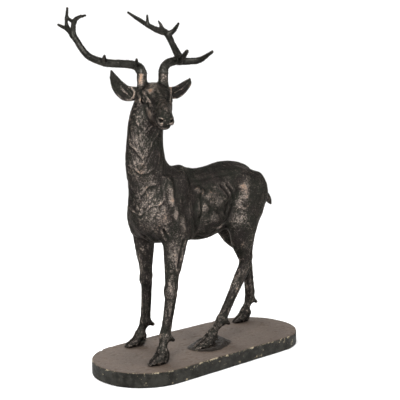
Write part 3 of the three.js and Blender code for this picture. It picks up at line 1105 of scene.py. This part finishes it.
class Graph:
    """A node tree being built, with short calls to add and join nodes."""

    def __init__(self, tree):
        self.tree = tree

    def add(self, kind, settings=None, **inputs):
        made = self.tree.nodes.new(kind)
        for name, value in (settings or {}).items():
            setattr(made, name, value)
        for name, value in inputs.items():
            self.feed(made.inputs[name.replace("_", " ")], value)
        return made

    def feed(self, socket, value):
        if isinstance(value, bpy.types.NodeSocket):
            self.tree.links.new(value, socket)
        elif isinstance(value, bpy.types.Node):
            self.tree.links.new(value.outputs[0], socket)
        else:
            socket.default_value = value

    def math(self, operation, *values, clamp=False):
        made = self.tree.nodes.new("ShaderNodeMath")
        made.operation = operation
        made.use_clamp = clamp
        for socket, value in zip(made.inputs, values):
            self.feed(socket, value)
        return made.outputs[0]

    def mask(self, name):
        """A piece's mask, read from its points."""
        return self.add("ShaderNodeAttribute", {"attribute_name": name}).outputs["Fac"]

    def span(self, value, low, high, to_low=0.0, to_high=1.0):
        settings = {"interpolation_type": "SMOOTHSTEP"}
        made = self.add("ShaderNodeMapRange", settings, Value=value)
        for name, limit in (("From Min", low), ("From Max", high), ("To Min", to_low), ("To Max", to_high)):
            self.feed(made.inputs[name], limit)
        return made.outputs["Result"]

    def mix(self, share, one, two):
        made = self.tree.nodes.new("ShaderNodeMix")
        made.data_type = "RGBA"
        self.feed(made.inputs["Factor"], share)
        self.feed(made.inputs[6], one)
        self.feed(made.inputs[7], two)
        return made.outputs[2]

    def cloud(self, place, scale, detail=2.0, rough=0.5):
        made = self.add("ShaderNodeTexNoise", Vector=place, Scale=scale, Detail=detail, Roughness=rough)
        return made.outputs["Fac"]


def new_group(name, inputs, outputs):
    tree = bpy.data.node_groups.new(name, "ShaderNodeTree")
    for label, kind, default in inputs:
        socket = tree.interface.new_socket(label, in_out="INPUT", socket_type=kind)
        if default is not None:
            socket.default_value = default
    for label, kind in outputs:
        tree.interface.new_socket(label, in_out="OUTPUT", socket_type=kind)
    graph = Graph(tree)
    return graph, tree.nodes.new("NodeGroupInput"), tree.nodes.new("NodeGroupOutput")


def grain_group():
    """Sand-cast grain: a fine pitted height and a matching speckle."""
    inputs = [
        ("Place", "NodeSocketVector", None),
        ("Fine", "NodeSocketFloat", 900.0),
        ("Coarse", "NodeSocketFloat", 260.0),
    ]
    outputs = [("Height", "NodeSocketFloat"), ("Speckle", "NodeSocketFloat")]
    graph, given, result = new_group("Cast grain", inputs, outputs)
    fine = graph.cloud(given.outputs["Place"], given.outputs["Fine"], 3.0, 0.6)
    coarse = graph.cloud(given.outputs["Place"], given.outputs["Coarse"], 3.0, 0.6)
    height = graph.math("ADD", graph.math("MULTIPLY", fine, 0.4), graph.math("MULTIPLY", coarse, 0.6))
    speckle = graph.math("ADD", graph.math("MULTIPLY", fine, 0.5), graph.math("MULTIPLY", coarse, 0.5))
    graph.feed(result.inputs["Height"], height)
    graph.feed(result.inputs["Speckle"], speckle)
    return graph.tree


def wear_group():
    """Turns a piece's rub mask and a speckle into bright, broken patches."""
    inputs = [
        ("Rub", "NodeSocketFloat", 0.0),
        ("Speckle", "NodeSocketFloat", 0.5),
        ("Start", "NodeSocketFloat", 0.25),
        ("Full", "NodeSocketFloat", 0.8),
        ("Breakup", "NodeSocketFloat", 1.6),
    ]
    graph, given, result = new_group("Rubbed wear", inputs, [("Mask", "NodeSocketFloat")])
    spread = graph.math("SUBTRACT", given.outputs["Speckle"], 0.5)
    broken = graph.math("MULTIPLY_ADD", spread, given.outputs["Breakup"], given.outputs["Rub"])
    mask = graph.span(broken, given.outputs["Start"], given.outputs["Full"])
    graph.feed(result.inputs["Mask"], mask)
    return graph.tree


def start_material(name):
    material = bpy.data.materials.new(name)
    material.use_nodes = True
    graph = Graph(material.node_tree)
    shader = material.node_tree.nodes["Principled BSDF"]
    place = graph.add("ShaderNodeTexCoord").outputs["Object"]
    return material, graph, shader, place


def worn(graph, groups, rub_and_highlight, speckle, start, full, breakup):
    """Where a rub mask shows, from the shared wear group."""
    settings = {"node_tree": groups["wear"]}
    sizes = {"Start": start, "Full": full, "Breakup": breakup}
    made = graph.add("ShaderNodeGroup", settings, Rub=rub_and_highlight, Speckle=speckle, **sizes)
    return made.outputs["Mask"]


def cast_grain(graph, groups, place, fine, coarse):
    """Height and speckle of the casting, from the shared grain group."""
    settings = {"node_tree": groups["grain"]}
    made = graph.add("ShaderNodeGroup", settings, Place=place, Fine=fine, Coarse=coarse)
    return made.outputs["Height"], made.outputs["Speckle"]


def finish_iron(graph, shader, metallic, tint, height, distance, strength):
    """How metallic the surface is, the tint of its shine, and its bump."""
    shader.inputs["Metallic"].default_value = metallic
    shader.inputs["Specular Tint"].default_value = tint
    bump = graph.add("ShaderNodeBump", Height=height, Distance=distance, Strength=strength)
    graph.feed(shader.inputs["Normal"], bump.outputs["Normal"])


METALLIC = 0.85
DUSTY_METALLIC = 0.1
METAL_TINT = (0.4, 0.38, 0.35, 1.0)
DUSTY_TINT = (0.3, 0.28, 0.26, 1.0)


def body_material(groups, look):
    """Dark bronzed iron, rubbed to grey and then to a coppery tan where it stands out; the same grey and
    tan also paint sheen and highlights over the listed lit patches and the leg streaks.
    """
    material, graph, shader, place = start_material("bronzed_iron")
    grain, speckle = cast_grain(graph, groups, place, 1000.0, 520.0)
    rub_and_highlight = graph.mask("rub_and_highlight")
    # Grey of rubbed iron, which over the listed lit patches is painted sheen
    grey_rub_and_sheen = worn(graph, groups, rub_and_highlight, speckle, 0.0, 0.9, 2.8)
    tan = worn(graph, groups, rub_and_highlight, speckle, 0.5, 1.35, 6.0)
    patches = graph.span(graph.cloud(place, 34.0, 3.0), 0.36, 0.64)
    dark = graph.mix(patches, look.iron, look.iron_green)
    grey = graph.mix(grey_rub_and_sheen, dark, look.rubbed_iron_and_sheen)
    clouds = graph.span(graph.cloud(place, 30.0, 3.0), 0.54, 0.68)
    orange = graph.math("MAXIMUM", clouds, graph.span(rub_and_highlight, 0.6, 1.0))
    warm = graph.mix(orange, look.rubbed, look.copper)
    graph.feed(shader.inputs["Base Color"], graph.mix(tan, grey, warm))
    graph.feed(shader.inputs["Roughness"], graph.span(speckle, 0.35, 0.65, 0.3, 0.52))
    finish_iron(graph, shader, METALLIC, METAL_TINT, grain, 0.0014, 0.9)
    return material


def antler_material(groups, look):
    """Smooth dark iron, a little brighter along its ridges."""
    material, graph, shader, place = start_material("antler_iron")
    grain, speckle = cast_grain(graph, groups, place, 1100.0, 380.0)
    wear = worn(graph, groups, graph.mask("rub_and_highlight"), speckle, 0.0, 0.8, 2.0)
    patches = graph.span(graph.cloud(place, 45.0, 2.0), 0.4, 0.65)
    dark = graph.mix(patches, look.antler, look.iron_green)
    graph.feed(shader.inputs["Base Color"], graph.mix(wear, dark, look.rubbed_iron_and_sheen))
    graph.feed(shader.inputs["Roughness"], graph.span(speckle, 0.35, 0.65, 0.3, 0.46))
    finish_iron(graph, shader, METALLIC, METAL_TINT, grain, 0.0007, 0.6)
    return material


def plinth_material(groups, look):
    """A dusty taupe deck over blackened sides, chipped pale along the top edge."""
    material, graph, shader, place = start_material("plinth_iron")
    grain, speckle = cast_grain(graph, groups, place, 700.0, 190.0)
    clouds = graph.span(graph.cloud(place, 16.0, 5.0, 0.6), 0.3, 0.7)
    deck = graph.mix(clouds, look.deck, look.deck_dark)
    blotches = graph.span(graph.cloud(place, 55.0, 5.0, 0.65), 0.38, 0.6)
    side = graph.mix(blotches, look.side, look.side_dark)
    # The pad's iron colour and the painted shadows round the hooves
    base = graph.mix(graph.mask("pad_iron_and_shadow"), graph.mix(graph.mask("deck"), side, deck), look.pad_iron_and_shadow)
    wear = worn(graph, groups, graph.mask("rub_and_highlight"), speckle, 0.4, 0.75, 3.6)
    graph.feed(shader.inputs["Base Color"], graph.mix(wear, base, look.chips))
    graph.feed(shader.inputs["Roughness"], graph.span(speckle, 0.3, 0.7, 0.62, 0.85))
    finish_iron(graph, shader, DUSTY_METALLIC, DUSTY_TINT, grain, 0.0008, 0.6)
    return material


def floor_material(look):
    """A pale, faintly uneven studio floor."""
    material, graph, shader, place = start_material("studio_floor")
    clouds = graph.cloud(place, 3.0, 2.0)
    graph.feed(shader.inputs["Base Color"], graph.mix(clouds, look.floor, (0.9, 0.9, 0.9, 1.0)))
    shader.inputs["Roughness"].default_value = 0.9
    return material


# Settings


def colour(label, about, default):
    return bpy.props.FloatVectorProperty(
        name=label, description=about, default=default, size=4, min=0.0, max=1.0, subtype="COLOR"
    )


def number(label, about, default, **limits):
    return bpy.props.FloatProperty(name=label, description=about, default=default, **limits)


class IRONSTAG_PG_form(bpy.types.PropertyGroup):
    """Sizes of the nets and reliefs"""

    body_net: number("Body net", "Millimetres between points on the stag", 1.25, min=0.8, max=4.0)
    antler_net: number("Antler net", "Millimetres between points on an antler", 0.75, min=0.4, max=3.0)
    plinth_net: number("Plinth net", "Millimetres between points on the plinth", 1.5, min=0.8, max=4.0)
    plinth_edge: number("Plinth edge", "Millimetre radius of the plinth's edges", 2.2, min=0.5, max=6.0)
    hair: number("Hair relief", "Strength of the modelled hair", 1.0, min=0.0, max=2.0)
    grain: number("Casting grain", "Strength of the uneven cast skin", 1.0, min=0.0, max=3.0)
    rub_and_highlight: number("Rubbing", "How strongly high spots are rubbed bright", 1.0, min=0.0, max=3.0)


class IRONSTAG_PG_look(bpy.types.PropertyGroup):
    """Colours of the finishes"""

    iron: colour("Iron", "Brown-black iron of the body", (0.0135, 0.0115, 0.0105, 1.0))
    iron_green: colour("Green iron", "Iron in the damp hollows", (0.0115, 0.0118, 0.0095, 1.0))
    # Also the colour of the painted grey sheen on the lit patches of the body
    rubbed_iron_and_sheen: colour("Rubbed iron", "Iron lightly rubbed to grey", (0.1, 0.087, 0.078, 1.0))
    rubbed: colour("Rubbed tan", "Pinkish tan of the brightest spots", (0.36, 0.285, 0.235, 1.0))
    copper: colour("Copper", "Orange tint in the brightest spots", (0.3, 0.19, 0.125, 1.0))
    antler: colour("Antler iron", "Dark iron of the antlers", (0.021, 0.0205, 0.018, 1.0))
    deck: colour("Deck", "Taupe top of the plinth", (0.078, 0.058, 0.045, 1.0))
    deck_dark: colour("Dark deck", "Darker clouds on the plinth's top", (0.061, 0.0455, 0.036, 1.0))
    side: colour("Side", "Greenish black sides of the plinth", (0.02, 0.0195, 0.0165, 1.0))
    side_dark: colour("Dark side", "Darkest streaks on the plinth's sides", (0.006, 0.006, 0.005, 1.0))
    chips: colour("Chips", "Pale chips along the plinth's edge", (0.26, 0.22, 0.15, 1.0))
    # Also the colour of the painted shadows on the deck round the hooves
    pad_iron_and_shadow: colour("Stain", "Dark iron round the hooves", (0.0095, 0.0068, 0.005, 1.0))
    floor: colour("Floor", "Pale studio floor", (0.86, 0.86, 0.86, 1.0))


class IRONSTAG_PG_studio(bpy.types.PropertyGroup):
    """Camera and lights"""

    azimuth: number("Azimuth", "Camera's direction from the plinth", math.radians(-43.46), subtype="ANGLE")
    rise: number("Rise", "Camera's angle above the plinth", math.radians(17.13), subtype="ANGLE")
    distance: number("Distance", "Camera's distance in plinth lengths", 3.277, min=1.0)
    look_azimuth: number("Aim", "Direction the camera looks in", math.radians(-43.40), subtype="ANGLE")
    look_down: number("Tilt", "Angle the camera looks down", math.radians(5.85), subtype="ANGLE")
    lens: number("Lens", "Focal length", 69.93, unit="CAMERA")
    sky: number("Sky", "Strength of the white surroundings", 1.13, min=0.0)
    key: number("Key", "Power of the large soft light", 58.0, unit="POWER")


def settings():
    scene = bpy.context.scene
    return scene.iron_stag_form, scene.iron_stag_look, scene.iron_stag_studio


def shared_groups():
    """The shader node groups that the materials share, built once."""
    built = bpy.data.node_groups
    return {
        "grain": built.get("Cast grain") or grain_group(),
        "wear": built.get("Rubbed wear") or wear_group(),
    }


def hand_over(piece, material, node):
    """Gives a finished piece its material and its place in the frame."""
    piece.data.materials.append(material)
    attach(piece, "root")
    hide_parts(node)


# Operators, with the pad of iron round the left hind hoof

PLINTH_TRIANGLES = 90000
STAG_TRIANGLES = 190000
ANTLER_TRIANGLES = 60000
FINE_UNDER_SEAM = 50
PEDICLE_REACH = 16
FLOOR_REACH = 3.4
SWEEP = 1.6
SWEEP_STEPS = 10
WALL_TOP = 3.2
FLOOR_ROUND = 72
LAMP_TARGET = Vector((0, 0, 0.3))
LAMPS = [
    ("key", (-1.7, -0.9, 1.6), 0.7, 1.0),
    ("fill", (0.9, -1.9, 1.5), 0.9, 0.4),
    ("back", (0.6, 1.7, 1.7), 0.9, 0.5),
]

PAD_RIM = [
    (-14, 13, 2.4),
    (-16, -4, 3),
    (-5, -19, 3.6),
    (12, -25, 4),
    (32, -21, 4.4),
    (56, -6, 5.4),
    (66, 12, 6),
    (70, 30, 5.4),
    (54, 40, 4.4),
    (28, 36, 3),
]
PAD_LUMPS = 13
TURN_STEP = 2.4


def hoof_pad():
    """The lumpy pad of iron that the left hind hoof is sunk in, with a lip round its far end."""
    toe = np.array(HIND_LEGS["left"]["toe"], float)
    forms = [Limb([(toe[0] + x, toe[1] + y, DECK + 1, thick) for x, y, thick in PAD_RIM], soft=4)]
    forms.append(Ball(toe + (28, 5, 0), (46, 27, 3.6), soft=5))
    for turn in range(PAD_LUMPS):
        angle = turn * TURN_STEP
        spread = 3 + 2.1 * turn
        place = toe + (30 + 1.3 * spread * math.cos(angle), 6 + 0.8 * spread * math.sin(angle), 1)
        forms.append(Ball(place, (6, 5, 3.4), soft=2.4))
    return forms


def hoof_pad_and_shadows(points, raised):
    """Iron colour on the pad, and painted shadows on the deck round each hoof, set off towards the side
    where the legs' shadows fall.
    """
    hoof_shadows = np.zeros(len(points))
    for legs in (FORE_LEGS, HIND_LEGS):
        for leg in legs.values():
            place = np.array(leg["toe"]) + (6, 0, 0)
            # Painted shadow round each hoof, longer along x and set off along +X
            hoof_shadows = np.maximum(hoof_shadows, patch(points, place, (26, 17, 20)))
    return np.maximum(raised, hoof_shadows * (0.45 + 0.4 * noise(points, 6, 85)))


class IRONSTAG_OT_plinth(bpy.types.Operator):
    """Model the round-ended plinth with its cast skin, chipped edge and hoof pad"""

    bl_idname = "iron_stag.plinth"
    bl_label = "Plinth"

    def execute(self, context):
        form, look, _ = settings()
        slab = Slab(PLINTH_LOW, PLINTH_HIGH, form.plinth_edge)
        points, faces = shape([slab, *hoof_pad()], fit_pace(form.plinth_net))
        raised = fade(points[:, 2], DECK + 0.6, DECK + 2)
        points = lifted(points, faces, plinth_relief(points, form.grain))
        points[:, 2] = np.maximum(points[:, 2], PLINTH_LOW[2])
        normals = outward(points, faces)
        deck = fade(normals[:, 2], 0.35, 0.8) * fade(points[:, 2], DECK - 5, DECK - 1.5)
        edge = fade(np.abs(points[:, 2] - DECK + 1.4), 3.2, 0.4) * fade(normals[:, 2], 0.96, 0.8)
        edge *= 0.22 + 0.56 * fade(noise(points, 11, 82), 0.05, 0.7)
        scratches = fade(noise(points / (2, 2, 1), 5, 81), 0.3, 0.9) * (1 - deck) * 0.4
        flecks = fade(noise(points, 4, 83), 0.45, 0.9) * fade(noise(points, 30, 84), 0, 0.6)
        scratches += flecks * (1 - deck) * 0.5
        specks = raised * 0.3 * np.maximum(noise(points, 4, 86), 0)
        bright = np.maximum(edge, scratches + specks)
        masks = {"deck": deck, "rub_and_highlight": bright, "pad_iron_and_shadow": hoof_pad_and_shadows(points, raised)}
        piece = finished_mesh("plinth_cast", points, faces, PLINTH_TRIANGLES, masks)
        hand_over(piece, plinth_material(shared_groups(), look), "plinth")
        return {"FINISHED"}


class IRONSTAG_OT_stag(bpy.types.Operator):
    """Model the stag as one casting, from its muscles and bones out to its coat"""

    bl_idname = "iron_stag.stag"
    bl_label = "Stag"

    def execute(self, context):
        form, look, _ = settings()
        forms = trunk_forms() + neck_forms() + tail_forms()
        for name, side in (("left", -1), ("right", 1)):
            forms += fore_leg_forms(FORE_LEGS[name], side)
            forms += hind_leg_forms(HIND_LEGS[name], side)
        forms += head_forms() + ear_forms() + pedicle_forms()
        points, faces = shape(forms, fit_pace(form.body_net))
        points = level_off(lifted(points, faces, stag_relief(points, form.hair, form.grain)))
        normals = outward(points, faces)
        masks = {"rub_and_highlight": calmed(points, rubbed(points, faces, normals, form.rub_and_highlight))}
        fine = (near_head(points) > 0.1) | (points[:, 2] > SEAM - FINE_UNDER_SEAM)
        piece = finished_mesh("stag_cast", points, faces, STAG_TRIANGLES, masks, fine)
        hand_over(piece, body_material(shared_groups(), look), "stag")
        return {"FINISHED"}


def level_off(points):
    """Flattens the soles and the tops of the pedicles, where the next piece begins."""
    points[:, 2] = np.maximum(points[:, 2], SOLE)
    for x, y in ANTLER_FEET.values():
        inside = np.hypot(points[:, 0] - x, points[:, 1] - y) < PEDICLE_REACH
        points[inside, 2] = np.minimum(points[inside, 2], SEAM)
    return points


class IRONSTAG_OT_antlers(bpy.types.Operator):
    """Model the two antlers, each from its beam and tines, with ridges along them"""

    bl_idname = "iron_stag.antlers"
    bl_label = "Antlers"

    def execute(self, context):
        form, look, _ = settings()
        material = antler_material(shared_groups(), look)
        for side in ("right", "left"):
            points, faces = shape(antler_forms(side), fit_pace(form.antler_net))
            points = lifted(points, faces, antler_relief(points, side, form.grain))
            points[:, 2] = np.maximum(points[:, 2], SEAM)
            normals = outward(points, faces)
            masks = {"rub_and_highlight": rubbed(points, faces, normals, form.rub_and_highlight)}
            piece = finished_mesh(f"antler_{side}_cast", points, faces, ANTLER_TRIANGLES, masks)
            hand_over(piece, material, f"antler_{side}")
        return {"FINISHED"}


def direction(azimuth, rise):
    """The way to a place seen at this angle round from -Y and this angle up."""
    level = math.cos(rise)
    return Vector((math.sin(azimuth) * level, -math.cos(azimuth) * level, math.sin(rise)))


class IRONSTAG_OT_studio(bpy.types.Operator):
    """Set up the pale floor, the soft lights and the camera"""

    bl_idname = "iron_stag.studio"
    bl_label = "Studio"

    def execute(self, context):
        _, look, studio = settings()
        self.make_floor(look)
        self.make_lights(studio)
        self.make_camera(studio)
        return {"FINISHED"}

    def make_floor(self, look):
        """A flat floor whose far edge sweeps up all round, so that no horizon shows."""
        profile = [(0.001, 0.0), (1.5, 0.0), (FLOOR_REACH, 0.0)]
        for step in range(1, SWEEP_STEPS + 1):
            angle = step / SWEEP_STEPS * math.pi / 2
            profile.append((FLOOR_REACH + SWEEP * math.sin(angle), SWEEP * (1 - math.cos(angle))))
        profile.append((FLOOR_REACH + SWEEP, WALL_TOP))
        points = []
        for turn in range(FLOOR_ROUND):
            angle = turn * math.tau / FLOOR_ROUND
            points += [(out * math.cos(angle), out * math.sin(angle), up) for out, up in profile]
        faces = []
        count = len(profile)
        for turn in range(FLOOR_ROUND):
            here = turn * count
            there = (turn + 1) % FLOOR_ROUND * count
            faces += [(here + i, here + i + 1, there + i + 1, there + i) for i in range(count - 1)]
        mesh = bpy.data.meshes.new("floor")
        mesh.from_pydata(points, [], faces)
        mesh.polygons.foreach_set("use_smooth", [True] * len(faces))
        mesh.materials.append(floor_material(look))
        floor = bpy.data.objects.new("floor", mesh)
        bpy.context.scene.collection.objects.link(floor)

    def make_lights(self, studio):
        world = bpy.data.worlds.new("white studio")
        world.use_nodes = True
        sky = world.node_tree.nodes["Background"].inputs
        sky["Color"].default_value = (1.0, 1.0, 1.0, 1.0)
        sky["Strength"].default_value = studio.sky
        bpy.context.scene.world = world
        for name, place, size, share in LAMPS:
            light = bpy.data.lights.new(name, "AREA")
            light.energy = studio.key * share
            light.size = size
            lamp = bpy.data.objects.new(name, light)
            lamp.location = place
            lamp.visible_camera = False
            aim = LAMP_TARGET - Vector(place)
            lamp.rotation_euler = aim.to_track_quat("-Z", "Y").to_euler()
            bpy.context.scene.collection.objects.link(lamp)
        bpy.context.scene.view_settings.view_transform = "Standard"

    def make_camera(self, studio):
        length = (PLINTH_HIGH[0] - PLINTH_LOW[0]) * MM
        back = direction(studio.azimuth, studio.rise)
        aim = -direction(studio.look_azimuth, studio.look_down)
        data = bpy.data.cameras.new("camera")
        data.lens = studio.lens
        data.clip_end = 50.0
        camera = bpy.data.objects.new("camera", data)
        camera.location = back * studio.distance * length
        camera.rotation_euler = aim.to_track_quat("-Z", "Y").to_euler()
        bpy.context.scene.collection.objects.link(camera)
        bpy.context.scene.camera = camera


# Panel and registration


class IRONSTAG_PT_panel(bpy.types.Panel):
    """Buttons and settings for the iron stag"""

    bl_label = "Iron Stag"
    bl_idname = "IRONSTAG_PT_panel"
    bl_space_type = "VIEW_3D"
    bl_region_type = "UI"
    bl_category = "Iron Stag"

    def draw(self, context):
        for operator in OPERATORS:
            self.layout.operator(operator.bl_idname)
        for group in settings():
            box = self.layout.box()
            for name in group.__annotations__:
                box.prop(group, name)


OPERATORS = (IRONSTAG_OT_plinth, IRONSTAG_OT_stag, IRONSTAG_OT_antlers, IRONSTAG_OT_studio)
GROUPS = {
    "iron_stag_form": IRONSTAG_PG_form,
    "iron_stag_look": IRONSTAG_PG_look,
    "iron_stag_studio": IRONSTAG_PG_studio,
}


def register():
    for made in (*GROUPS.values(), *OPERATORS, IRONSTAG_PT_panel):
        bpy.utils.register_class(made)
    for name, group in GROUPS.items():
        setattr(bpy.types.Scene, name, bpy.props.PointerProperty(type=group))


def unregister():
    for name in GROUPS:
        delattr(bpy.types.Scene, name)
    for made in (IRONSTAG_PT_panel, *reversed(OPERATORS), *reversed(GROUPS.values())):
        bpy.utils.unregister_class(made)


def main():
    register()
    bpy.ops.iron_stag.studio()
    bpy.ops.iron_stag.plinth()
    bpy.ops.iron_stag.stag()
    bpy.ops.iron_stag.antlers()


if __name__ == "__main__":
    main()
